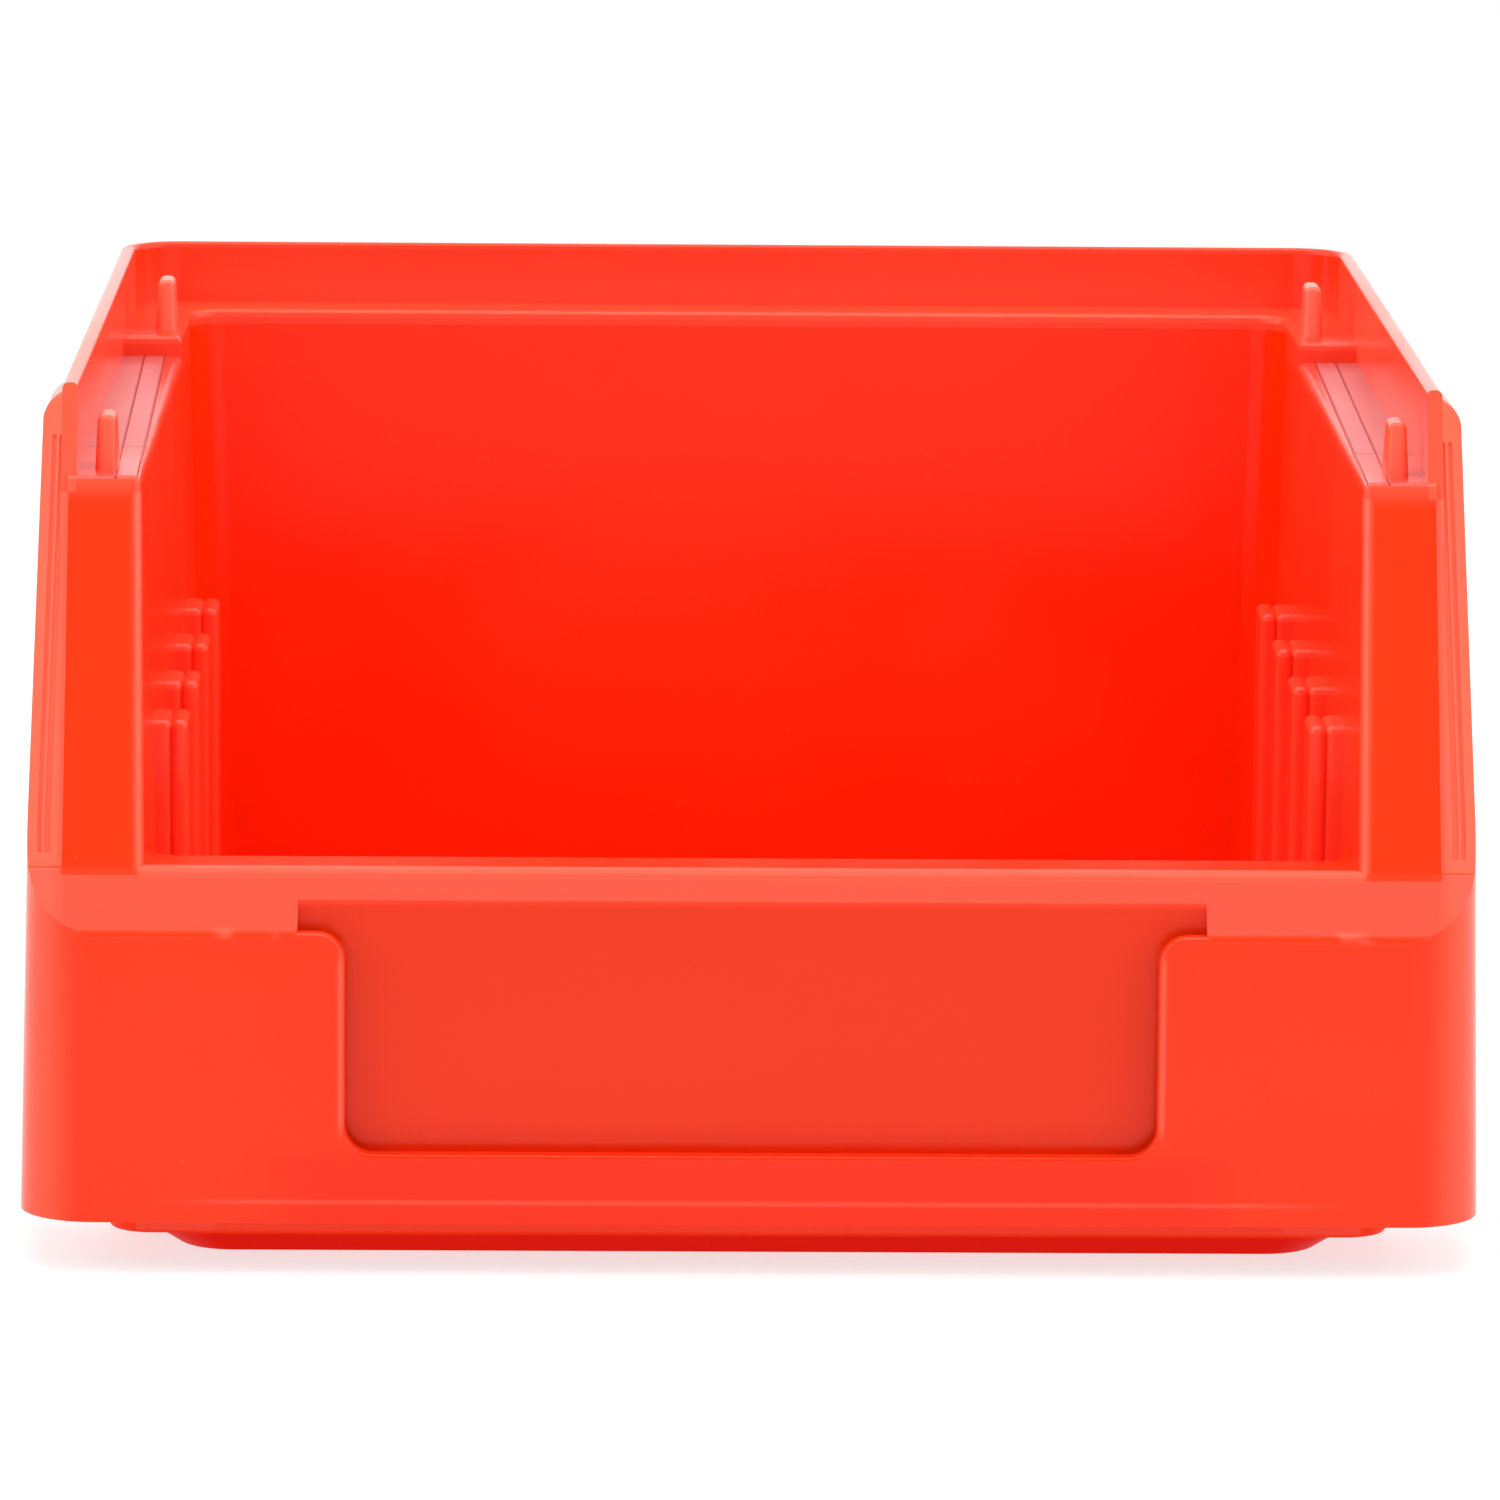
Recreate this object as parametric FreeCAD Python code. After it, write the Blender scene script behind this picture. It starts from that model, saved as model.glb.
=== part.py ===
"""Stackable open-fronted storage bin, one plastic moulding built as named sections.

Units are millimetres.  X runs across the bin, Y from front to back and Z upwards.
The origin is at the centre of the bin's footprint, on the surface that it stands on.
Depths in this file are measured from the front face towards the back.
"""
import FreeCAD, Part
import math
import os

os.makedirs("parts", exist_ok=True)

# Overall size
overall_width = 102.0
overall_length = 100.0
overall_height = 60.0
wall = 1.1
front = -overall_length / 2

# Cavity
floor_top = 1.6
cavity_half = 42.9
side_draft = math.radians(1.25)
end_draft = math.radians(1.0)
cavity_front = 8.2
cavity_back = 94.0
cavity_radius = 2.5
floor_fillet = 1.4

# Ledge that carries the bin above, and the fence round it
ledge_z = 53.8
platform_z = 55.3
platform_depth = 77.4
fence_half = 48.5
fence_radius = 4.5
apron_z = 49.4
fence_round = 0.42

# Outer skin of the front and its side returns
skin_bottom_z = 3.5
skin_half_top = overall_width / 2 - 1.25
corner_radius = 5.3
return_depth = 14.6

# Front lip
lip_front_z = 23.85
lip_z = 27.9
crest_depth = 4.0
crest_round = 0.9

# Pillars: the leaning front edges of the side walls
pillar_foot_depth = 3.5
pillar_top_depth = 14.2
pillar_outer = 48.0
pillar_band = 7.6
flange_step = 0.3
flange_top_z = 59.6
flange_round = 2.4
flange_nose = 1.6
flange_groove_depth = 0.15
flange_groove_foot = 0.9
flange_groove_top_z = 56.5
outer_groove = (0.7, 1.0)
inner_groove = (1.2, 1.6)

# Label holder in the front skin
window_half = 28.2
mouth_half = 31.5
window_bottom_z = 8.4
shoulder_z = 24.0
window_radius = 2.0
window_edge = 0.4
slot_thickness = 1.0
slot_bottom_z = 7.3
holder_rim = 1.1

# Base
foot_half_low = 40.2
foot_half_high = 42.2
foot_radius = 4.0
foot_slope = 0.8
step_z = 1.4
step_half_low = 44.9
step_half_high = 45.9
step_top_z = 2.7
step_front = 6.0
step_back = 77.0
foot_back = 93.6

# Inner columns, each of two round-edged ribs, hollow from outside
column_count = 4
column_first = 22.0
column_pitch = 16.7
column_length = 5.6
column_reach = 2.5
column_top_z = 35.0
column_round = 1.1
rib_width = 1.3
rib_overlap = 0.12
rib_round = 0.55

# Fins that keep the bin above in place
fin_base_width = 1.6
fin_tip_width = 1.25
fin_base_length = 5.0
fin_tip_length = 3.4
fin_height = 3.85
front_fin_x = 45.45
front_fin_depth = 16.3
rear_fin_x = 44.3
rear_fin_depth = 80.6
fin_corner = 0.55
fin_edge = 0.5
fin_clearance = 0.5

# Rear hanging lip
hook_half = 40.0
hook_bottom_z = 43.0
hook_radius = 3.0

# Rounding of the edges round the opening
edge_round = 0.6

# Where one section of the moulding ends and the next begins
rail_inside = 43.0
panel_half = overall_width / 2 - corner_radius
panel_top_z = 23.0
tub_corner = 37.5
pillar_section = 2.2
front_wall_section = 16.4
flange_back = 24.0
back_section = 89.5

# A length past every face, and how near a point counts as being on a surface
beyond = 20.0
tolerance = 0.05


def at(x, depth, z):
    """A point from its place across, its depth behind the front face and its height."""
    return FreeCAD.Vector(x, front + depth, z)


def box(x0, x1, depth0, depth1, z0, z1):
    """A plain block between two corners."""
    return Part.makeBox(x1 - x0, depth1 - depth0, z1 - z0, at(x0, depth0, z0))


def outline(corners, place):
    """A closed wire through (u, v, radius) corners, each one rounded by its radius."""
    starts = []
    middles = []
    ends = []
    for index, (u, v, radius) in enumerate(corners):
        before = corners[index - 1]
        after = corners[(index + 1) % len(corners)]
        corner = FreeCAD.Vector(u, v, 0)
        back_way = FreeCAD.Vector(before[0] - u, before[1] - v, 0).normalize()
        on_way = FreeCAD.Vector(after[0] - u, after[1] - v, 0).normalize()
        half_angle = back_way.getAngle(on_way) / 2
        reach = radius / math.tan(half_angle)
        inward = (back_way + on_way).normalize() if radius else FreeCAD.Vector()
        starts.append(corner + back_way * reach)
        ends.append(corner + on_way * reach)
        middles.append(corner + inward * (radius / math.sin(half_angle) - radius))
    edges = []
    for index, (_, _, radius) in enumerate(corners):
        start = place(starts[index].x, starts[index].y)
        end = place(ends[index].x, ends[index].y)
        follower = (index + 1) % len(corners)
        following = place(starts[follower].x, starts[follower].y)
        if radius:
            middle = place(middles[index].x, middles[index].y)
            edges.append(Part.Arc(start, middle, end).toShape())
        if end.distanceToPoint(following) > 1e-6:
            edges.append(Part.makeLine(end, following))
    return Part.Wire(edges)


def plan_wire(half, depth0, depth1, z, radius):
    """A rounded rectangle seen from above."""
    corners = [(-half, depth0, radius), (half, depth0, radius),
               (half, depth1, radius), (-half, depth1, radius)]
    return outline(corners, lambda u, v: at(u, v, z))


def tapered_block(low, high):
    """A block between two rounded rectangles, each (half, depth0, depth1, z, radius)."""
    return Part.makeLoft([plan_wire(*low), plan_wire(*high)], True, True)


def side_prism(corners, x0, x1):
    """An outline in depth and height, drawn out from x0 to x1."""
    face = Part.Face(outline(corners, lambda u, v: at(x0, u, v)))
    return face.extrude(FreeCAD.Vector(x1 - x0, 0, 0))


def front_prism(corners, depth0, depth1):
    """An outline seen from the front, drawn out from depth0 to depth1."""
    face = Part.Face(outline(corners, lambda u, v: at(u, depth0, v)))
    return face.extrude(FreeCAD.Vector(0, depth1 - depth0, 0))


def fuse(shapes):
    """One shape from several, with no seams left on its faces."""
    return shapes[0].multiFuse(shapes[1:]).removeSplitter()


def mirrored(shape):
    """The same shape on the other side of the bin."""
    return shape.mirror(FreeCAD.Vector(), FreeCAD.Vector(1, 0, 0))


def both_sides(shape):
    """A shape and its mirror image."""
    return Part.makeCompound([shape, mirrored(shape)])


def cavity_side(z):
    """Half the cavity's width at a height."""
    return cavity_half + (z - ledge_z) * math.tan(side_draft)


def cavity_ends(z):
    """Front and back depths of the cavity at a height."""
    return (cavity_front + (lip_z - z) * math.tan(end_draft),
            cavity_back + (z - platform_z) * math.tan(end_draft))


def cavity_plan(z, grow):
    """The cavity's rounded rectangle at a height, made larger by a wall thickness."""
    near, far = cavity_ends(z)
    return (cavity_side(z) + grow, near - grow, far + grow, z, cavity_radius + grow)


def mouth_plan(z, grow):
    """The same rectangle with its front end drawn out past the front of the bin."""
    _, far = cavity_ends(z)
    return (cavity_side(z) + grow, -beyond, far + grow, z, cavity_radius + grow)


def skin_half(z):
    """Half the outer skin's width at a height."""
    lean = (overall_width / 2 - skin_half_top) / (overall_height - skin_bottom_z)
    return overall_width / 2 - (z - skin_bottom_z) * lean


def skin_block(z0, z1, inset):
    """The space inside the outer skin, less an inset."""
    back = overall_length + beyond
    low = (skin_half(z0) - inset, inset, back, z0, corner_radius - inset)
    high = (skin_half(z1) - inset, inset, back, z1, corner_radius - inset)
    return tapered_block(low, high)


def pillar_depth(z):
    """Depth of the leaning front edge at a height."""
    foot_z = lip_front_z + pillar_foot_depth * (lip_z - lip_front_z) / crest_depth
    slope = (pillar_top_depth - pillar_foot_depth) / (ledge_z - foot_z)
    return pillar_foot_depth + (z - foot_z) * slope


def behind_pillar(step, z0, z1, depth1, x0, x1):
    """Everything behind the leaning front edge, moved back by a step."""
    corners = [(pillar_depth(z0) + step, z0, 0), (pillar_depth(z1) + step, z1, 0),
               (depth1, z1, 0), (depth1, z0, 0)]
    return side_prism(corners, x0, x1)


def cavity_space():
    """What is taken out for the contents, with a rounded floor edge."""
    space = tapered_block(cavity_plan(floor_top, 0), cavity_plan(overall_height + 1, 0))
    floor_edges = [edge for edge in space.Edges
                   if edge.BoundBox.ZMax < floor_top + tolerance]
    return space.makeFillet(floor_fillet, floor_edges)


def mouth_space():
    """What is taken out over the front lip."""
    return tapered_block(mouth_plan(lip_z, 0), mouth_plan(overall_height + 1, 0))


def tub():
    """The walls round the cavity, up to the ledge."""
    low = tapered_block(cavity_plan(step_z, wall), cavity_plan(lip_z, wall))
    high = tapered_block(mouth_plan(lip_z - wall, wall), mouth_plan(platform_z, wall))
    half = overall_width
    high = high.common(behind_pillar(0, lip_z - wall, platform_z, overall_length, -half, half))
    front_top = box(-half, half, 0, platform_depth, ledge_z, platform_z + 1)
    return fuse([low, high.cut(front_top)])


def base():
    """The deep foot, and the step round it that rests on the bin below."""
    foot = tapered_block(
        (foot_half_low, step_front + foot_slope, foot_back - foot_slope, 0, foot_radius),
        (foot_half_high, step_front, foot_back, step_z, foot_radius))
    inner = tapered_block(
        (foot_half_high, step_front, foot_back, step_z, foot_radius),
        (foot_half_high, step_front, foot_back, floor_top, foot_radius))
    slope = step_half_high - step_half_low
    step = tapered_block(
        (step_half_low, step_front, step_back, step_z, foot_radius - slope),
        (step_half_high, step_front - slope, step_back, step_top_z, foot_radius))
    notch = box(front_fin_x - fin_base_width / 2 - fin_clearance, overall_width,
                front_fin_depth - fin_clearance,
                front_fin_depth + fin_base_length + fin_clearance, 0, step_top_z + 1)
    return fuse([foot, inner, step.cut(both_sides(notch))])


def ledges():
    """The ledge on three sides, raised at its back end."""
    half = fence_half - wall / 2
    back = overall_length - wall / 2
    low = box(-half, half, pillar_depth(ledge_z - wall), platform_depth + wall,
              ledge_z - wall, ledge_z)
    low = low.common(behind_pillar(0, ledge_z - wall, ledge_z, back, -half, half))
    riser = box(-half, half, platform_depth, platform_depth + wall, ledge_z - wall, platform_z)
    high = box(-half, half, platform_depth, back, platform_z - wall, platform_z)
    radius = fence_radius - wall / 2
    high = high.common(tapered_block((half, -beyond, back, platform_z - wall, radius),
                                     (half, -beyond, back, platform_z, radius)))
    return fuse([low, riser, high])


def fence():
    """The upright rim, with its apron below the ledge and a deeper one at the back."""
    outer = tapered_block((fence_half, -beyond, overall_length, apron_z, fence_radius),
                          (fence_half, -beyond, overall_length, overall_height, fence_radius))
    inside = overall_length - wall
    hollow = tapered_block(
        (fence_half - wall, -beyond, inside, apron_z, fence_radius - wall),
        (fence_half - wall, -beyond, inside, overall_height, fence_radius - wall))
    ring = outer.cut(hollow)
    half = overall_width
    ring = ring.common(behind_pillar(flange_step, apron_z, overall_height, overall_length,
                                     -half, half))
    top_edges = [edge for edge in ring.Edges
                 if edge.BoundBox.ZMin > overall_height - tolerance
                 and edge.BoundBox.XLength + edge.BoundBox.YLength > 2 * wall]
    ring = ring.makeFillet(fence_round, top_edges)
    hook = front_prism([(-hook_half, hook_bottom_z, hook_radius),
                        (hook_half, hook_bottom_z, hook_radius),
                        (hook_half, apron_z + wall, 0), (-hook_half, apron_z + wall, 0)],
                       inside, overall_length)
    return fuse([ring, hook])


def label_holder():
    """The plate behind the label, and the rim of the slot that the label slides in."""
    return box(-mouth_half - holder_rim, mouth_half + holder_rim, wall / 2,
               2 * wall + slot_thickness, slot_bottom_z - holder_rim, lip_z)


def label_window():
    """The opening that shows the label, wider at the top where it slides in."""
    corners = [(-window_half, window_bottom_z, window_radius),
               (window_half, window_bottom_z, window_radius),
               (window_half, shoulder_z, window_radius),
               (mouth_half, shoulder_z, 0),
               (mouth_half, overall_height, 0),
               (-mouth_half, overall_height, 0),
               (-mouth_half, shoulder_z, 0),
               (-window_half, shoulder_z, window_radius)]
    depth = wall + slot_thickness
    plate = box(-overall_width, overall_width, 0, depth, 0, overall_height - 1)
    frame = plate.cut(front_prism(corners, -1, depth + 1))
    front_edges = [edge for edge in frame.Edges
                   if edge.BoundBox.YMax < front + tolerance
                   and abs(edge.CenterOfMass.x) < mouth_half + tolerance
                   and window_bottom_z - tolerance < edge.CenterOfMass.z < overall_height - 2]
    frame = frame.makeFillet(window_edge, front_edges)
    return plate.cut(frame)


def label_slot():
    """The thin slot behind the front skin."""
    return box(-mouth_half, mouth_half, wall, wall + slot_thickness,
               slot_bottom_z, overall_height)


def front_skin():
    """The front face, its sloping lip and its rounded side returns, open underneath."""
    half = overall_width
    outside = side_prism([(0, skin_bottom_z, 0), (0, lip_front_z, crest_round),
                          (crest_depth, lip_z, crest_round), (return_depth, lip_z, 0),
                          (return_depth, skin_bottom_z, 0)], -half, half)
    slope_length = math.hypot(crest_depth, lip_z - lip_front_z)
    drop = wall * (slope_length - crest_depth) / (lip_z - lip_front_z)
    inset = wall * (slope_length - (lip_z - lip_front_z)) / crest_depth
    inside = side_prism([(wall, skin_bottom_z - 1, 0), (wall, lip_front_z - inset, 0),
                         (crest_depth + drop, lip_z - wall, 0),
                         (return_depth + 1, lip_z - wall, 0),
                         (return_depth + 1, skin_bottom_z - 1, 0)], -half, half)
    solid = skin_block(skin_bottom_z, lip_z + 1, 0).common(outside)
    hollow = skin_block(skin_bottom_z - 1, lip_z + 1, wall).common(inside)
    skin = fuse([solid.cut(hollow), label_holder().common(outside)])
    return skin.cut(label_window()).cut(label_slot())


def flange_grooves():
    """The shallow grooves down the front of each flange, which follow its outer side."""
    z0 = lip_z + flange_groove_foot
    z1 = flange_groove_top_z
    half = overall_width
    band = behind_pillar(-wall, z0, z1, overall_length, -half, half)
    band = band.cut(behind_pillar(flange_step + flange_groove_depth, z0 - 1, z1 + 1,
                                  overall_length, -half, half))
    grooves = []
    for near, far in (outer_groove, inner_groove):
        ring = skin_block(z0 - 1, z1 + 1, near).cut(skin_block(z0 - wall, z1 + wall, far))
        grooves.append(ring.common(band))
    return Part.makeCompound(grooves)


def pillars():
    """The leaning front faces of the side walls, with the flange outside them."""
    z0 = lip_z - wall
    half = overall_width
    lean = wall / math.cos(math.atan(pillar_depth(1) - pillar_depth(0)))
    band = side_prism([(pillar_depth(z0), z0, 0), (pillar_depth(ledge_z), ledge_z, 0),
                       (pillar_depth(ledge_z) + pillar_band, ledge_z, 0),
                       (return_depth, lip_z + wall, 0), (return_depth, z0, 0)], -half, half)
    solid = skin_block(z0, overall_height, 0).common(band)
    hollow = skin_block(z0 - 1, overall_height, wall)
    hollow = hollow.common(behind_pillar(lean, z0 - 1, ledge_z - wall, beyond * 2, -half, half))
    shell = solid.cut(hollow)
    top = side_prism([(pillar_depth(ledge_z - wall) + flange_step, ledge_z - wall, 0),
                      (pillar_depth(flange_top_z) + flange_step, flange_top_z, flange_nose),
                      (pillar_depth(ledge_z) + pillar_band + 1, flange_top_z, 0),
                      (pillar_depth(ledge_z) + pillar_band, ledge_z - wall, 0)], -half, half)
    post = skin_block(ledge_z - wall, overall_height, 0).common(top)
    low = skin_half(ledge_z - wall) + tolerance
    high = skin_half(flange_top_z) + tolerance
    crown = front_prism([(-low, ledge_z - wall, 0), (low, ledge_z - wall, 0),
                         (high, flange_top_z, flange_round), (-high, flange_top_z, flange_round)],
                        0, overall_length)
    rim_inside = fence_half - wall
    post = post.common(crown)
    post = post.cut(box(-rim_inside, rim_inside, 0, overall_length, 0, overall_height + 1))
    face_step = behind_pillar(0, z0, ledge_z + 1, overall_length, -half, half)
    face_step = face_step.cut(behind_pillar(flange_step, z0, ledge_z + 1, overall_length,
                                            -half, half))
    face_step = face_step.cut(box(-pillar_outer, pillar_outer, 0, overall_length,
                                  0, overall_height + 1))
    return fuse([shell, post]).cut(face_step).cut(flange_grooves())


def column_depth(index):
    """Depth of a column's front face."""
    return column_first + index * column_pitch


def rib(index, inner, outer, joined):
    """An upright rib with round edges; its outer edges are left square if it joins a wall."""
    block = box(inner, outer, column_depth(index), column_depth(index) + column_length,
                floor_top, column_top_z)
    rounded = []
    for edge in block.Edges:
        at_wall = joined and edge.BoundBox.XMin > outer - tolerance
        if edge.BoundBox.ZMax > floor_top + tolerance and not at_wall:
            rounded.append(edge)
    return block.makeFillet(rib_round, rounded)


def columns():
    """The columns on one side, each an inner rib and an outer one against the wall."""
    inner = cavity_side(column_top_z) - column_reach
    outer = cavity_side(floor_top) + wall - tolerance
    ribs = []
    for index in range(column_count):
        ribs.append(rib(index, inner, inner + rib_width, False))
        ribs.append(rib(index, inner + rib_width - rib_overlap, outer, True))
    return ribs


def column_grooves():
    """The grooves behind the columns on one side."""
    inner = cavity_side(column_top_z) - column_reach + wall
    grooves = []
    for index in range(column_count):
        near = column_depth(index) + wall
        far = column_depth(index) + column_length - wall
        groove = box(inner, overall_width, near, far, step_top_z, column_top_z - wall)
        rounded = [edge for edge in groove.Edges
                   if edge.BoundBox.XMax < inner + tolerance
                   and edge.BoundBox.ZMax > column_top_z - wall - tolerance]
        grooves.append(groove.makeFillet(column_round, rounded))
    return grooves


def fin(x, depth, z):
    """An upright fin, thinner and shorter at its tip, with a round top."""
    inset = (fin_base_length - fin_tip_length) / 2
    tip_z = z + fin_height
    block = tapered_block(
        (fin_base_width / 2, depth, depth + fin_base_length, z - wall / 2, fin_corner),
        (fin_tip_width / 2, depth + inset, depth + fin_base_length - inset, tip_z, fin_corner))
    top_edges = [edge for edge in block.Edges if edge.BoundBox.ZMin > tip_z - tolerance]
    block = block.makeFillet(fin_edge, top_edges)
    block.translate(FreeCAD.Vector(x, 0, 0))
    return block


def fins():
    """The two fins on one side."""
    return [fin(front_fin_x, front_fin_depth, ledge_z),
            fin(rear_fin_x, rear_fin_depth, platform_z)]


def on_side(side, z):
    """Whether a point lies on a side of the cavity."""
    return abs(side - cavity_side(z)) < tolerance


def inner_edge(side, depth, z):
    """Whether a point is the middle of an edge that faces the cavity and is rounded."""
    if abs(z - ledge_z) < tolerance:
        on_pillar = abs(depth - pillar_top_depth) < tolerance
        return on_side(side, z) or on_pillar and side < pillar_outer
    if abs(z - platform_z) < tolerance:
        on_riser = abs(depth - platform_depth) < tolerance
        return on_riser or side < cavity_half + wall and depth < cavity_back + wall
    return z > lip_z and on_side(side, z) and abs(depth - pillar_depth(z)) < tolerance


def round_edges(body):
    """The body with the edges round its opening made soft."""
    edges = []
    for edge in body.Edges:
        middle = edge.valueAt((edge.FirstParameter + edge.LastParameter) / 2)
        if inner_edge(abs(middle.x), middle.y - front, middle.z):
            edges.append(edge)
    return body.makeFillet(edge_round, edges)


def moulding():
    """The whole bin as one solid."""
    body = fuse([tub(), base(), ledges(), fence(), front_skin(), pillars()])
    body = body.cut(cavity_space()).cut(mouth_space())
    body = round_edges(body)
    added = []
    for shape in columns() + fins():
        added += [shape, mirrored(shape)]
    body = fuse([body] + added)
    for groove in column_grooves():
        body = body.cut(groove).cut(mirrored(groove))
    return body


def fin_space(x, depth, z):
    """The space that a fin fills."""
    half = fin_base_width / 2
    return box(x - half, x + half, depth, depth + fin_base_length, z, z + fin_height + 1)


def column_space(index):
    """The space that a column and its piece of wall fill."""
    return box(cavity_side(floor_top) - column_reach - wall, step_half_high,
               column_depth(index), column_depth(index) + column_length,
               floor_top, column_top_z)


def side_spaces():
    """Names and spaces of the sections on one side, in the order that they are cut off."""
    ledge_under = ledge_z - wall
    rim_inside = fence_half - wall
    fin_seat_depth = front_fin_depth + fin_base_length + fin_clearance
    spaces = [
        ("front_fin", fin_space(front_fin_x, front_fin_depth, ledge_z)),
        ("rear_fin", fin_space(rear_fin_x, rear_fin_depth, platform_z)),
        ("resting_rail", box(rail_inside, overall_width, 0, step_back + 1, 0, step_top_z))]
    for index in range(column_count):
        spaces.append((f"column_{index + 1}", column_space(index)))
    face = behind_pillar(-1, lip_z, ledge_under, overall_length, 0, fence_half)
    face = face.cut(behind_pillar(pillar_section, lip_z, ledge_under, overall_length,
                                  0, fence_half))
    spaces += [
        ("front_flange", box(fence_half, overall_width, 0, flange_back, lip_z, overall_height)),
        ("pillar", face),
        ("front_corner", box(panel_half, overall_width, -1, flange_back, 0, lip_z)),
        ("fence", box(rim_inside, overall_width, 0, overall_length - fence_radius,
                      apron_z, overall_height)),
        ("ledge_front", box(tub_corner, rim_inside, 0, fin_seat_depth, ledge_under, ledge_z)),
        ("ledge", box(tub_corner, rim_inside, 0, platform_depth, ledge_under, ledge_z)),
        ("rear_platform", box(tub_corner, rim_inside, platform_depth, back_section,
                              ledge_under, platform_z))]
    return spaces


def middle_spaces():
    """Names and spaces of the sections across the bin, in the order that they are cut off."""
    ledge_under = platform_z - wall
    half = overall_width / 2
    behind_label = 2 * wall + slot_thickness
    inside = overall_length - fence_radius
    back = overall_length + 1
    return [
        ("floor", box(-rail_inside, rail_inside, 0, overall_length, 0, floor_top)),
        ("front_panel", box(-half, half, -1, behind_label, 0, panel_top_z)),
        ("front_lip", box(-half, half, -1, return_depth, panel_top_z, lip_z)),
        ("front_wall", box(-tub_corner, tub_corner, wall, front_wall_section, 0, panel_top_z)),
        ("back_fence", box(-half, half, inside, back, ledge_under, overall_height)),
        ("hanging_lip", box(-half, half, inside, back, 0, ledge_under)),
        ("back_ledge", box(-half, half, back_section, inside, ledge_under, overall_height)),
        ("back_wall", box(-half, half, back_section, inside, 0, ledge_under))]


def cut_off(body, space):
    """A section of the body, and what is left of the body without it."""
    return body.common(space), body.cut(space)


def save(name, section):
    """One section, written as its own node."""
    section = section.removeSplitter()
    section.exportStep(f"parts/{name}.step")
    print(name, "solids", len(section.Solids), "volume", round(section.Volume, 1))


def build():
    """Cut the whole moulding into its sections, which meet face to face."""
    rest = moulding()
    print("whole", len(rest.Solids), rest.isValid(), round(rest.Volume, 1))
    for name, space in side_spaces():
        left, rest = cut_off(rest, mirrored(space))
        right, rest = cut_off(rest, space)
        save(f"left_{name}", left)
        save(f"right_{name}", right)
    for name, space in middle_spaces():
        section, rest = cut_off(rest, space)
        save(name, section)
    right, left = cut_off(rest, box(0, overall_width, 0, overall_length, 0, overall_height))
    save("left_wall", left)
    save("right_wall", right)


build()
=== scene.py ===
import math

import bpy
from mathutils import Matrix, Vector

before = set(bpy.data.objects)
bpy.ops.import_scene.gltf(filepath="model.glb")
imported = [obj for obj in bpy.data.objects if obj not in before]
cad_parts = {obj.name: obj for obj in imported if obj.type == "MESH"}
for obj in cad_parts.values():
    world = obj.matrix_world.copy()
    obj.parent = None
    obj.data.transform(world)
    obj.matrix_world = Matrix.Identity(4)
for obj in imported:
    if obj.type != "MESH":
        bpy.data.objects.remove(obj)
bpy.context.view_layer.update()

# Camera, at the photo's viewing angle
LENS = 220.44
SENSOR = 36.0
CAMERA_AT = (-0.0104, -0.67304, 0.14776)
YAW = math.radians(0.929)
PITCH = math.radians(10.074)
ROLL = math.radians(0.461)
NEAREST = 0.01
FURTHEST = 20

# Colours of the plastic: the plain red, a paler random tone, worn marks, dark lines, and tints
# that paint light and shade on its parts: lit and highlighted reds, a pale sheen on the ledge,
# and shaded reds in the recess, below the window and at the foot
RED = (0.95, 0.030, 0.0008, 1.0)
RED_PALE = (0.97, 0.035, 0.0014, 1.0)
RED_WORN = (0.95, 0.075, 0.03, 1.0)
RED_LIT = (0.96, 0.150, 0.085, 1.0)
RED_NICKS_AND_HIGHLIGHTS = (0.97, 0.18, 0.115, 1.0)
RED_LEDGE_SHEEN = (0.58, 0.12, 0.115, 1.0)
RED_DEEP = (0.35, 0.006, 0.001, 1.0)
RED_FOOT_SHADE = (0.76, 0.007, 0.0005, 1.0)
RED_SHADED = (0.80, 0.030, 0.0012, 1.0)
RED_UNDER_SHADE = (0.98, 0.020, 0.0003, 1.0)

# Finish of the plastic: roughness, reflection, and heights in metres
GLOSS = 0.2
SPECULAR = 0.25
POLYPROPYLENE_IOR = 1.49
WAVE_HEIGHT = 0.00005
PEEL_HEIGHT = 0.000006
LINE_DEPTH = 0.0001

# How many of each fine pattern there are to a metre
SCUFFS = 280
SCUFF_BREAKS = 55
SPECKS = 420
SPECK_PATCHES = 90
CLOUDS = 38
WAVES = 48
PEEL = 900
NICKS = 170
SCUFF_STRETCH = (1, 0.06, 0.22)
SCUFF_TURN = (0.3, 0.2, 0.9)

# Where each fine pattern fades in and is full: distance to a point, or level of a noise
SCUFF_EDGE = (0.035, 0.012)
SCUFF_RUNS = (0.48, 0.62)
SPECK_EDGE = (0.08, 0.045)
SPECK_AREAS = (0.56, 0.6)
NICK_AREAS = (0.52, 0.66)
CLOUD_AREAS = (0.35, 0.7)

# How much each mark shows, and how far each tint of painted light and shade goes, from 0 to 1
SCUFFS_SHOW = 0.4
SPECKS_SHOW = 0.22
NICKS_SHOW = 0.6
LEDGE_LINES_SHOW = 0.6
PANEL_HIGHLIGHTS_SHOW = 0.4
MARKS_ROUGHEN = 0.3
SHEEN_ROUGHENS = 0.14
SHEEN_BESIDE = 0.3
SHEEN_IN_FRONT = 0.45
TOP_PALE = 0.4
EDGE_PALE = 0.65
CREST_PALE = 0.85
SLOPE_PALE = 0.1
CORNER_PALE = 0.36
RIM_TOP_PALE = 0.08
RIM_LOW_PALE = 0.28
FACE_DARKER = 0.35
UNDER_SHADE = 0.9
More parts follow.
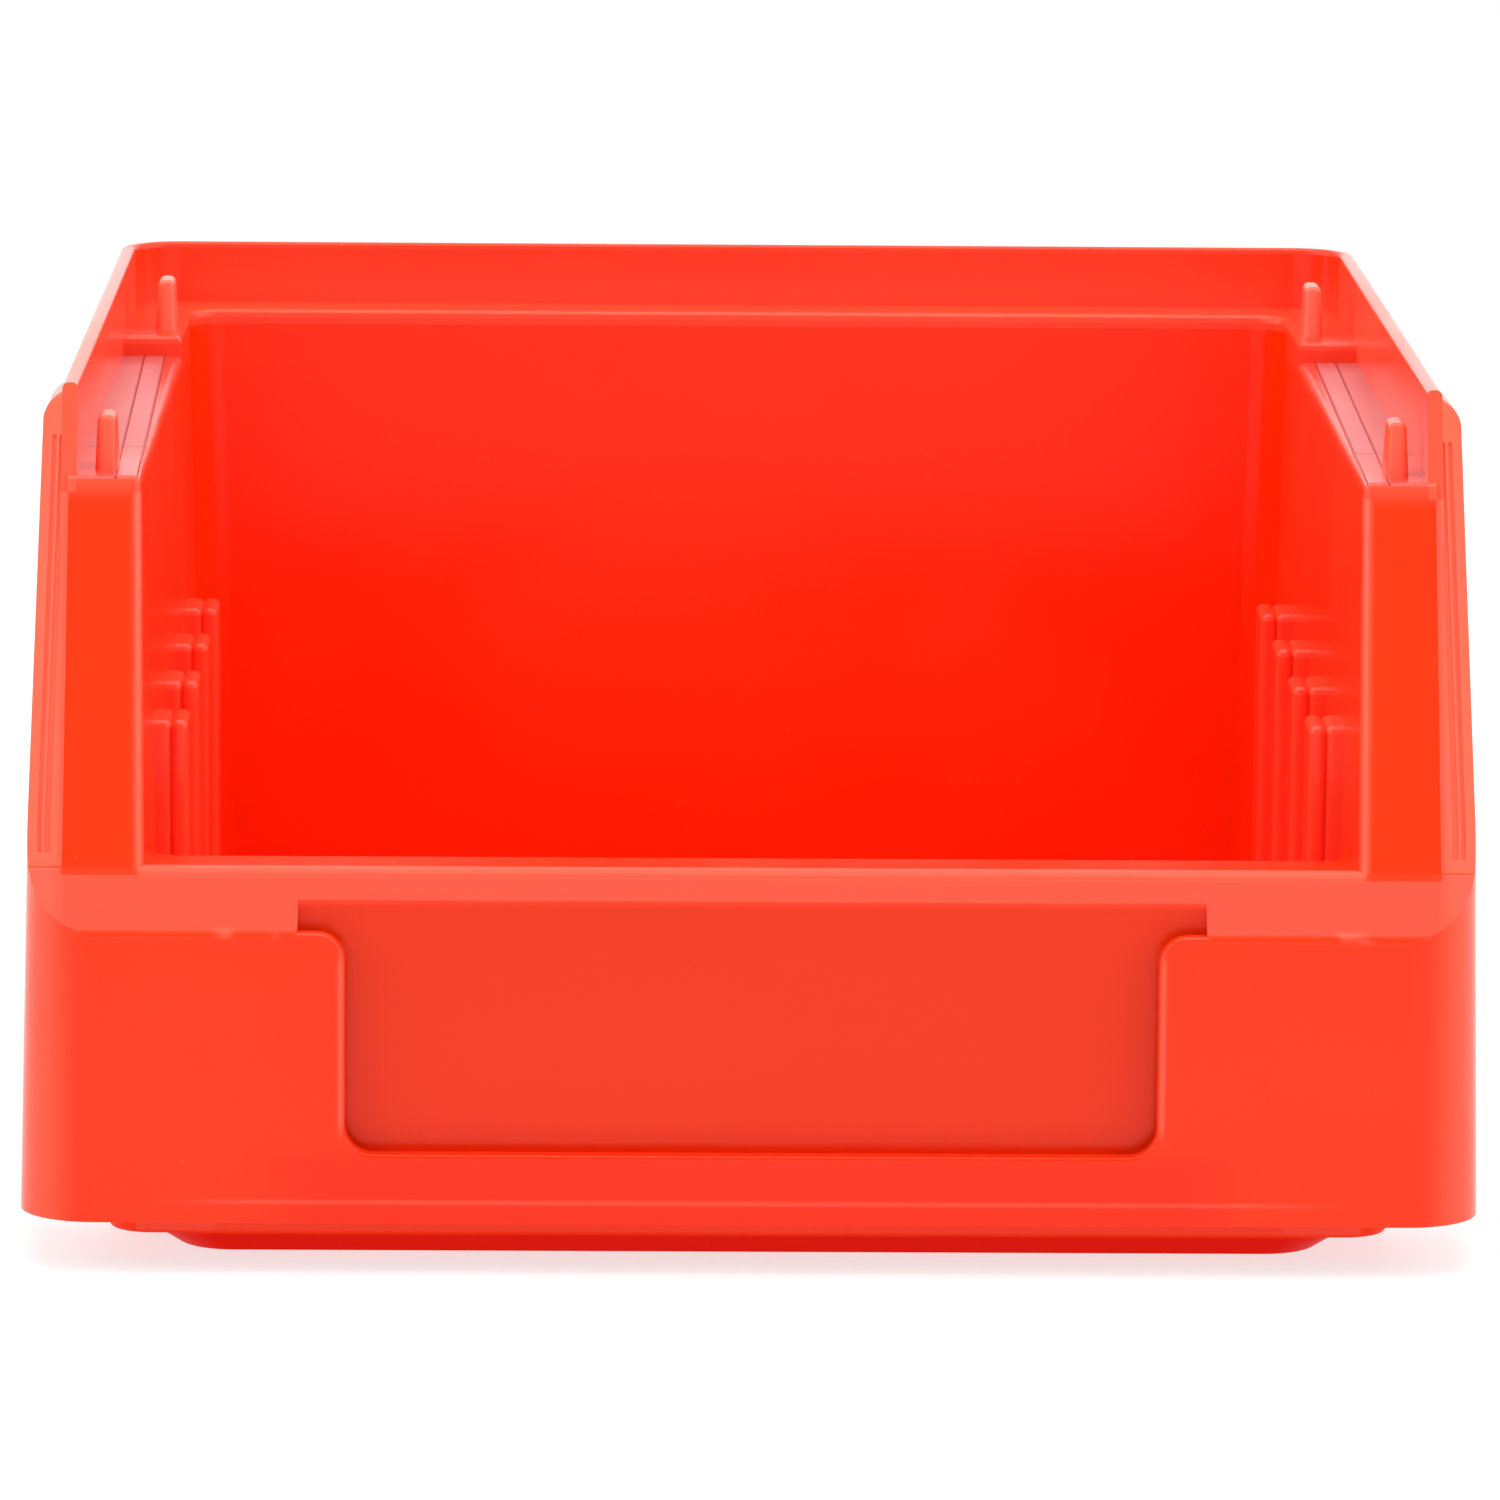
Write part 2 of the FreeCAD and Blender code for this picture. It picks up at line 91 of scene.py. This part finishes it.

# Where the marks, the painted highlights, sheen and shade, and the paler edges are, in metres.
# A drift or a lean is a slope.
LEDGE_TOP = 0.0537
LEDGE_UNDER = 0.0518
LEDGE_MARK_FROM = -0.020
LEDGE_DRIFT = 0.0178
LEDGE_STRIP_IN = 0.0434
LEDGE_STRIP = 0.0015
LEDGE_CROSS = -0.0217
LEDGE_CROSS_FADE = 0.0006
LINE_FROM = -0.00008
LINE_WIDTH = 0.00012
LINE_SOFT = 0.00005
BAND_FROM = 0.0480
PILLAR_EDGE = 0.0429
PILLAR_EDGE_LEAN = 0.0218
PILLAR_EDGE_WIDTH = 0.0009
CREST_BACK = -0.0459
CREST_TOP = 0.0277
CREST_INNER = 0.0003
CREST_OUTER = 0.0009
CREST_END = 0.0424
CREST_PAST_END = 0.0430
LIP_LOWER = 0.02385
LIP_LEAN = 0.9
SLOPE_MET = 0.0003
SLOPE_LEFT = 0.0007
SLOT_TOP = 0.0262
FRONT = -0.050
NICK_DEPTH = 0.0008
NICK_DEEPEST = 0.0012
FACE_DEPTH = 0.0009
RECESS_DEPTH = 0.0017
PANEL_HIGHLIGHT = 0.0049
PANEL_HIGHLIGHT_END = 0.0340
PANEL_HIGHLIGHT_PAST_END = 0.0425
UNDER_TOP = 0.0090
UNDER_LOW = 0.0075
UNDER_END = 0.0295
UNDER_PAST_END = 0.0360
WINDOW_RIM = 0.0283
WINDOW_LOW = 0.0100
WINDOW_TOP = 0.0225
WINDOW_SOFT = 0.001
CORNER_TURNS = 0.0466
CORNER_SIDE = 0.0492
BACK_RIM_TOP = 0.0595
BACK_RIM_LOW = 0.0545
FOOT_TOP = 0.0015
FOOT_SOFT = 0.0003
EDGE_SOFT = 0.0002

# The studio floor, just clear of the foot's flat underside, and less bright in front
FLOOR_AT = -0.0001
FLOOR_HALF = 3.0
FRONT_ENDS = -0.3
NEAR_STARTS = -0.12
FRONT_SHADE = 0.45
NEAR_SHADE = 0.38
FRONT_GLOW = 0.05
NEAR_GLOW = 0.66

# The room's brightness, low in front and rising behind, by the direction's Y
ROOM_FRONT = 0.4
ROOM_BACK = 1.35
ROOM_RISES = 0.3
ROOM_FULL = 0.95


class Tree:
    """A material's node tree, with short ways to add and join nodes."""

    def __init__(self, name):
        self.material = bpy.data.materials.new(name)
        self.material.use_nodes = True
        self.nodes = self.material.node_tree.nodes
        self.links = self.material.node_tree.links
        self.shader = self.nodes["Principled BSDF"]
        self.place = self.nodes.new("ShaderNodeTexCoord").outputs["Object"]

    def feed(self, socket, value):
        if isinstance(value, bpy.types.NodeSocket):
            self.links.new(value, socket)
        else:
            socket.default_value = value

    def math(self, operation, first, second=0.0, clamp=False):
        node = self.nodes.new("ShaderNodeMath")
        node.operation = operation
        node.use_clamp = clamp
        self.feed(node.inputs[0], first)
        self.feed(node.inputs[1], second)
        return node.outputs[0]

    def plus(self, first, second, clamp=False):
        return self.math("ADD", first, second, clamp)

    def minus(self, first, second):
        return self.math("SUBTRACT", first, second)

    def times(self, first, second):
        return self.math("MULTIPLY", first, second)

    def most(self, first, second):
        return self.math("MAXIMUM", first, second)

    def ramp(self, value, low, high, start=0.0, end=1.0):
        """A value brought smoothly from one range to another."""
        node = self.nodes.new("ShaderNodeMapRange")
        node.interpolation_type = "SMOOTHSTEP"
        self.feed(node.inputs["Value"], value)
        node.inputs["From Min"].default_value = low
        node.inputs["From Max"].default_value = high
        node.inputs["To Min"].default_value = start
        node.inputs["To Max"].default_value = end
        return node.outputs["Result"]

    def noise(self, scale, detail=2.0, roughness=0.5):
        node = self.nodes.new("ShaderNodeTexNoise")
        node.inputs["Scale"].default_value = scale
        node.inputs["Detail"].default_value = detail
        node.inputs["Roughness"].default_value = roughness
        self.links.new(self.place, node.inputs["Vector"])
        return node.outputs["Fac"]

    def stretched(self, stretch, turn):
        node = self.nodes.new("ShaderNodeMapping")
        node.inputs["Scale"].default_value = stretch
        node.inputs["Rotation"].default_value = turn
        self.links.new(self.place, node.inputs["Vector"])
        return node.outputs["Vector"]

    def cells(self, scale, stretch=(1, 1, 1), turn=(0, 0, 0)):
        """Distance to the nearest scattered point."""
        node = self.nodes.new("ShaderNodeTexVoronoi")
        node.inputs["Scale"].default_value = scale
        self.feed(node.inputs["Vector"], self.stretched(stretch, turn))
        return node.outputs["Distance"]

    def mix(self, amount, first, second):
        node = self.nodes.new("ShaderNodeMix")
        node.data_type = "RGBA"
        self.feed(node.inputs[0], amount)
        self.feed(node.inputs[6], first)
        self.feed(node.inputs[7], second)
        return node.outputs[2]

    def bump(self, height):
        """The surface raised by a height in metres."""
        node = self.nodes.new("ShaderNodeBump")
        node.inputs["Strength"].default_value = 1.0
        node.inputs["Distance"].default_value = 1.0
        self.links.new(height, node.inputs["Height"])
        return node.outputs["Normal"]

    def axes(self):
        """Distance from the bin's middle plane, place from front to back, and height."""
        node = self.nodes.new("ShaderNodeSeparateXYZ")
        self.links.new(self.place, node.inputs[0])
        across = self.math("ABSOLUTE", node.outputs["X"])
        return across, node.outputs["Y"], node.outputs["Z"]

    def band(self, value, low, high, soft):
        """1 between two places and 0 outside them, with soft edges."""
        rise = self.ramp(value, low - soft, low + soft)
        fall = self.ramp(value, high - soft, high + soft, 1.0, 0.0)
        return self.times(rise, fall)


def scuffs(tree):
    """Fine hairline scratches, broken up into short runs."""
    lines = tree.ramp(tree.cells(SCUFFS, SCUFF_STRETCH, SCUFF_TURN), *SCUFF_EDGE)
    return tree.times(lines, tree.ramp(tree.noise(SCUFF_BREAKS, 1.0), *SCUFF_RUNS))


def specks(tree):
    """Dust grains and moulding specks, a few tenths of a millimetre across."""
    grains = tree.ramp(tree.cells(SPECKS), *SPECK_EDGE)
    return tree.times(grains, tree.ramp(tree.noise(SPECK_PATCHES, 0.0), *SPECK_AREAS))


def top_fade(tree, height):
    """The rounded edge round the ledge is painted paler towards its top, as a highlight."""
    return tree.ramp(height, LEDGE_UNDER, LEDGE_TOP, 0.0, TOP_PALE)


def outer_band(tree, across):
    """The thin upright band along the pillar's outer side, where it is painted lighter."""
    return tree.ramp(across, BAND_FROM - EDGE_SOFT / 2, BAND_FROM)


def ledge_marks(tree):
    """Where the ledge is painted with a pale sheen, its fine witness lines, and its rounded
    edge painted lighter.
    """
    across, back, height = tree.axes()
    top = tree.ramp(height, LEDGE_TOP - EDGE_SOFT, LEDGE_TOP)
    drift = tree.times(tree.minus(back, LEDGE_MARK_FROM), LEDGE_DRIFT)
    offset = tree.minus(tree.minus(across, LEDGE_STRIP_IN), drift)
    behind = tree.ramp(back, LEDGE_CROSS - LEDGE_CROSS_FADE, LEDGE_CROSS, SHEEN_IN_FRONT, 1.0)
    strip = tree.ramp(offset, -EDGE_SOFT, EDGE_SOFT / 2, SHEEN_BESIDE, 1.0)
    sheen = tree.times(strip, behind)
    inner = tree.band(offset, LINE_FROM, LINE_FROM + LINE_WIDTH, LINE_SOFT)
    outer = tree.band(offset, LEDGE_STRIP, LEDGE_STRIP + LINE_WIDTH, LINE_SOFT)
    cross = tree.band(back, LEDGE_CROSS, LEDGE_CROSS + EDGE_SOFT, EDGE_SOFT / 2)
    lines = tree.most(tree.most(inner, outer), cross)
    side = tree.most(outer_band(tree, across), top_fade(tree, height))
    edge = tree.times(tree.minus(1.0, top), side)
    return tree.times(sheen, top), tree.times(lines, top), edge


def pillar_marks(tree):
    """The pillar's thin outer band, its rounded inner edge and its rounded top, painted
    lighter as highlights.
    """
    across, _, height = tree.axes()
    band = outer_band(tree, across)
    lean = tree.times(tree.minus(height, LEDGE_TOP), PILLAR_EDGE_LEAN)
    offset = tree.minus(tree.minus(across, PILLAR_EDGE), lean)
    edge = tree.ramp(offset, PILLAR_EDGE_WIDTH, EDGE_SOFT, 0.0, EDGE_PALE)
    return tree.most(tree.most(band, edge), top_fade(tree, height))


def recess(tree, back):
    """The front face is a little darker, and the label holder's recess is darker still with
    painted shade.
    """
    return tree.ramp(back, FRONT + FACE_DEPTH, FRONT + RECESS_DEPTH, FACE_DARKER, 1.0)


def slope_marks(tree):
    """The lip's sloping face painted paler, as if lit from above, and painted shade below it
    and in the slot's mouth.
    """
    _, back, height = tree.axes()
    rise = tree.most(tree.minus(height, LIP_LOWER), 0.0)
    front = tree.plus(tree.times(rise, LIP_LEAN), FRONT)
    outside = tree.ramp(tree.minus(back, front), SLOPE_LEFT, SLOPE_MET)
    above = tree.ramp(height, LIP_LOWER - EDGE_SOFT, LIP_LOWER + EDGE_SOFT)
    slope = tree.times(outside, above)
    low = tree.ramp(height, SLOT_TOP, SLOT_TOP - 2 * EDGE_SOFT)
    shaded = tree.times(tree.minus(1.0, slope), recess(tree, back))
    return tree.times(slope, SLOPE_PALE), tree.times(shaded, low)


def panel_marks(tree):
    """Painted shade on the front face and its recess, richer painted shade below the window,
    and painted highlights on its fine lines.
    """
    across, back, height = tree.axes()
    line = tree.band(height, PANEL_HIGHLIGHT, PANEL_HIGHLIGHT + EDGE_SOFT, EDGE_SOFT)
    line = tree.times(line, tree.ramp(across, PANEL_HIGHLIGHT_PAST_END, PANEL_HIGHLIGHT_END))
    under = tree.ramp(across, UNDER_PAST_END, UNDER_END)
    below = tree.times(tree.ramp(height, UNDER_TOP, UNDER_LOW, 0.0, UNDER_SHADE), under)
    rim = tree.band(across, WINDOW_RIM, WINDOW_RIM + 2 * EDGE_SOFT, 0.75 * EDGE_SOFT)
    rim = tree.times(rim, tree.band(height, WINDOW_LOW, WINDOW_TOP, WINDOW_SOFT))
    pale = tree.most(line, rim)
    return recess(tree, back), below, tree.times(pale, PANEL_HIGHLIGHTS_SHOW)


def crest_marks(tree):
    """The lip's rounded crest with a painted highlight, and nicks along its lower edge."""
    across, back, height = tree.axes()
    away = tree.minus(back, CREST_BACK)
    above = tree.minus(height, CREST_TOP)
    square = tree.plus(tree.times(away, away), tree.times(above, above))
    crest = tree.ramp(tree.math("SQRT", square), CREST_OUTER, CREST_INNER, 0.0, CREST_PALE)
    crest = tree.times(crest, tree.ramp(across, CREST_PAST_END, CREST_END))
    lower = tree.band(height, LIP_LOWER - EDGE_SOFT, LIP_LOWER + 2 * EDGE_SOFT, EDGE_SOFT)
    nicks = tree.ramp(tree.noise(NICKS, 2.0, 0.7), *NICK_AREAS, 0.0, NICKS_SHOW)
    nicks = tree.times(nicks, tree.ramp(back, FRONT + NICK_DEEPEST, FRONT + NICK_DEPTH))
    return tree.most(crest, tree.times(lower, nicks))


def painted(tree, colour, zone):
    """The colour, with the painted light and shade, and the nicks, that one part of the bin
    adds to it.
    """
    # Painted highlights on the pillar's outer band, inner edge and top
    if zone == "pillar":
        colour = tree.mix(pillar_marks(tree), colour, RED_LIT)
    # Painted light on the rounded corner as it turns to the side, and on its sloping face
    if zone == "corner":
        turned = tree.ramp(tree.axes()[0], CORNER_TURNS, CORNER_SIDE, 0.0, CORNER_PALE)
        pale_part = tree.most(turned, slope_marks(tree)[0])
        colour = tree.mix(pale_part, colour, RED_LIT)
    # Painted shade on the face, in the recess and below the window, and painted highlights on
    # the fine line and the window's rims
    if zone == "panel":
        shaded, below, line = panel_marks(tree)
        colour = tree.mix(below, tree.mix(shaded, colour, RED_SHADED), RED_UNDER_SHADE)
        colour = tree.mix(line, colour, RED_NICKS_AND_HIGHLIGHTS)
    # Painted light on the sloping face and a painted highlight on the crest, painted shade
    # below the slope and in the slot's mouth, and nicks
    if zone == "lip":
        slope, shaded = slope_marks(tree)
        colour = tree.mix(shaded, tree.mix(slope, colour, RED_LIT), RED_SHADED)
        colour = tree.mix(crest_marks(tree), colour, RED_NICKS_AND_HIGHLIGHTS)
    # Painted light: the back rim painted paler, more towards its lower edge
    if zone == "back_rim":
        low = tree.ramp(tree.axes()[2], BACK_RIM_TOP, BACK_RIM_LOW, RIM_TOP_PALE, RIM_LOW_PALE)
        colour = tree.mix(low, colour, RED_LIT)
    # Painted shade on the lowest band of the foot, next to the floor
    if zone == "foot":
        low = tree.ramp(tree.axes()[2], FOOT_TOP, FOOT_TOP - FOOT_SOFT)
        colour = tree.mix(low, colour, RED_FOOT_SHADE)
    return colour


def plastic(name, gloss=GLOSS, peel=1.0, pale=0.0, specular=SPECULAR, zone=""):
    """Semi-gloss moulded polypropylene, coloured right through and lightly handled."""
    tree = Tree(name)
    shader = tree.shader
    shader.inputs["IOR"].default_value = POLYPROPYLENE_IOR
    shader.inputs["Specular IOR Level"].default_value = specular
    scuffed = tree.times(scuffs(tree), SCUFFS_SHOW)
    marks = tree.plus(scuffed, tree.times(specks(tree), SPECKS_SHOW), clamp=True)
    cloud = tree.ramp(tree.noise(CLOUDS, 2.0, 0.55), *CLOUD_AREAS)
    colour = tree.mix(cloud, RED, RED_PALE)
    # Painted light: a pale amount paints the part paler, standing in for light through thin
    # plastic and for its sheen
    if pale:
        amount = tree.ramp(cloud, 0.0, 1.0, pale * 0.9, pale)
        colour = tree.mix(amount, colour, RED_LIT)
    colour = painted(tree, colour, zone)
    rough = tree.ramp(cloud, 0.0, 1.0, gloss - 0.02, gloss + 0.05)
    rough = tree.plus(rough, tree.times(marks, MARKS_ROUGHEN), clamp=True)
    height = tree.times(tree.noise(WAVES, 0.0), WAVE_HEIGHT * peel)
    skin = tree.times(tree.noise(PEEL, 0.0), PEEL_HEIGHT * peel)
    height = tree.plus(height, skin)
    # Painted sheen and a lighter painted edge on the ledge, with its dark witness lines
    if zone == "ledge":
        sheen, lines, edge = ledge_marks(tree)
        colour = tree.mix(edge, colour, RED_LIT)
        colour = tree.mix(sheen, colour, RED_LEDGE_SHEEN)
        colour = tree.mix(tree.times(lines, LEDGE_LINES_SHOW), colour, RED_DEEP)
        rough = tree.plus(rough, tree.times(sheen, SHEEN_ROUGHENS), clamp=True)
        height = tree.minus(height, tree.times(lines, LINE_DEPTH))
    tree.feed(shader.inputs["Base Color"], tree.mix(marks, colour, RED_WORN))
    tree.feed(shader.inputs["Roughness"], rough)
    tree.feed(shader.inputs["Normal"], tree.bump(height))
    return tree.material


def finish(names, material):
    """Gives CAD nodes their finish."""
    for name in names:
        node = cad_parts[name]
        for slot in node.material_slots:
            slot.material = material
        if not node.material_slots:
            node.data.materials.append(material)


def both(*parts):
    """Node names on both sides of the bin."""
    return [side + part for side in ("left_", "right_") for part in parts]


# Each part's node names and its finish; a pale amount paints light onto the part
FINISHES = [
    (both("ledge", "ledge_front"),
     plastic("red_polypropylene_ledge", peel=0.6, zone="ledge")),
    (both("pillar"),
     plastic("red_polypropylene_pillar", zone="pillar")),
    (["front_lip"],
     plastic("red_polypropylene_lip", zone="lip")),
    (["back_fence"],
     plastic("red_polypropylene_back_rim", zone="back_rim")),
    (["front_panel"],
     plastic("red_polypropylene_panel", zone="panel")),
    (both("front_corner"),
     plastic("red_polypropylene_corner", zone="corner")),
    (both("front_flange"),
     plastic("red_polypropylene_flange", peel=0.7, pale=1.0)),
    (both("front_fin"),
     plastic("red_polypropylene_front_fin", gloss=0.28, peel=0.7, pale=0.7)),
    (both("rear_fin"),
     plastic("red_polypropylene_rear_fin", gloss=0.28, peel=0.7, pale=1.0)),
    (both("rear_platform") + ["back_ledge"],
     plastic("red_polypropylene_platform", pale=0.3)),
    (both("wall"),
     plastic("red_polypropylene_wall", pale=0.12)),
    (both("fence"),
     plastic("red_polypropylene_rim", peel=0.8, pale=0.6)),
    (both("column_1", "column_2", "column_3", "column_4"),
     plastic("red_polypropylene_column", gloss=0.14, peel=0.7, pale=0.35)),
    (["floor"] + both("resting_rail"),
     plastic("red_polypropylene_foot", gloss=0.45, specular=0.06, zone="foot")),
]
for names, material in FINISHES:
    finish(names, material)

finished = {name for names, _ in FINISHES for name in names}
others = [name for name in sorted(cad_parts) if name not in finished]
finish(others, plastic("red_polypropylene"))


def grey(level):
    return (level, level, level, 1.0)


def floor():
    """A plain pale floor, a little less bright well in front of the bin."""
    mesh = bpy.data.meshes.new("studio_floor")
    signs = [(-1, -1), (1, -1), (1, 1), (-1, 1)]
    corners = [(FLOOR_HALF * x, FLOOR_HALF * y, FLOOR_AT) for x, y in signs]
    mesh.from_pydata(corners, [], [(0, 1, 2, 3)])
    obj = bpy.data.objects.new("studio_floor", mesh)
    bpy.context.scene.collection.objects.link(obj)
    tree = Tree("pale_floor")
    shader = tree.shader
    _, back, _ = tree.axes()
    near = tree.ramp(back, FRONT_ENDS, NEAR_STARTS)
    shade = tree.mix(near, grey(FRONT_SHADE), grey(NEAR_SHADE))
    glow = tree.mix(near, grey(FRONT_GLOW), grey(NEAR_GLOW))
    tree.feed(shader.inputs["Base Color"], shade)
    tree.feed(shader.inputs["Emission Color"], glow)
    shader.inputs["Emission Strength"].default_value = 1.0
    shader.inputs["Roughness"].default_value = 0.9
    shader.inputs["Specular IOR Level"].default_value = 0.0
    obj.data.materials.append(tree.material)


floor()


def area(name, at, target, width, height, radiance):
    """A soft rectangular light with the same brightness all over."""
    light = bpy.data.lights.new(name, "AREA")
    light.shape = "RECTANGLE"
    light.size = width
    light.size_y = height
    light.energy = radiance * math.pi * width * height
    obj = bpy.data.objects.new(name, light)
    obj.location = at
    obj.rotation_mode = "QUATERNION"
    obj.rotation_quaternion = (Vector(target) - Vector(at)).to_track_quat("-Z", "Y")
    bpy.context.scene.collection.objects.link(obj)


def around(turn, rise, distance):
    """A place round the bin: 0 is straight in front, and positive turns go to the right."""
    turn = math.radians(turn)
    rise = math.radians(rise)
    return (distance * math.cos(rise) * math.sin(turn),
            -distance * math.cos(rise) * math.cos(turn), distance * math.sin(rise))


MIDDLE = (0, 0, 0.03)
for name, turn in (("left_softbox", -78), ("right_softbox", 78)):
    area(name, around(turn, 30, 0.9), MIDDLE, width=1.2, height=0.8, radiance=1.8)
area("front_fill", around(0, 12, 1.2), MIDDLE, width=0.9, height=0.4, radiance=1.2)
area("overhead", (0, 0.05, 0.9), (0, 0, 0), width=1.0, height=0.7, radiance=2.9)

world = bpy.data.worlds.new("studio")
world.use_nodes = True
sky = world.node_tree
direction = sky.nodes.new("ShaderNodeTexCoord").outputs["Generated"]
split = sky.nodes.new("ShaderNodeSeparateXYZ")
sky.links.new(direction, split.inputs[0])
bright = sky.nodes.new("ShaderNodeMapRange")
bright.inputs["From Min"].default_value = ROOM_RISES
bright.inputs["From Max"].default_value = ROOM_FULL
bright.inputs["To Min"].default_value = ROOM_FRONT
bright.inputs["To Max"].default_value = ROOM_BACK
sky.links.new(split.outputs["Y"], bright.inputs["Value"])
sky.links.new(bright.outputs["Result"], sky.nodes["Background"].inputs["Strength"])
sky.nodes["Background"].inputs["Color"].default_value = (1, 1, 1, 1)
bpy.context.scene.world = world
bpy.context.scene.view_settings.view_transform = "Standard"

camera = bpy.data.cameras.new("camera")
camera.lens = LENS
camera.sensor_width = SENSOR
camera.sensor_fit = "HORIZONTAL"
camera.clip_start = NEAREST
camera.clip_end = FURTHEST
view = bpy.data.objects.new("camera", camera)
view.location = CAMERA_AT
aim = Matrix.Rotation(-YAW, 4, "Z") @ Matrix.Rotation(math.pi / 2 - PITCH, 4, "X")
view.rotation_mode = "QUATERNION"
view.rotation_quaternion = (aim @ Matrix.Rotation(ROLL, 4, "Z")).to_quaternion()
bpy.context.scene.collection.objects.link(view)
bpy.context.scene.camera = view
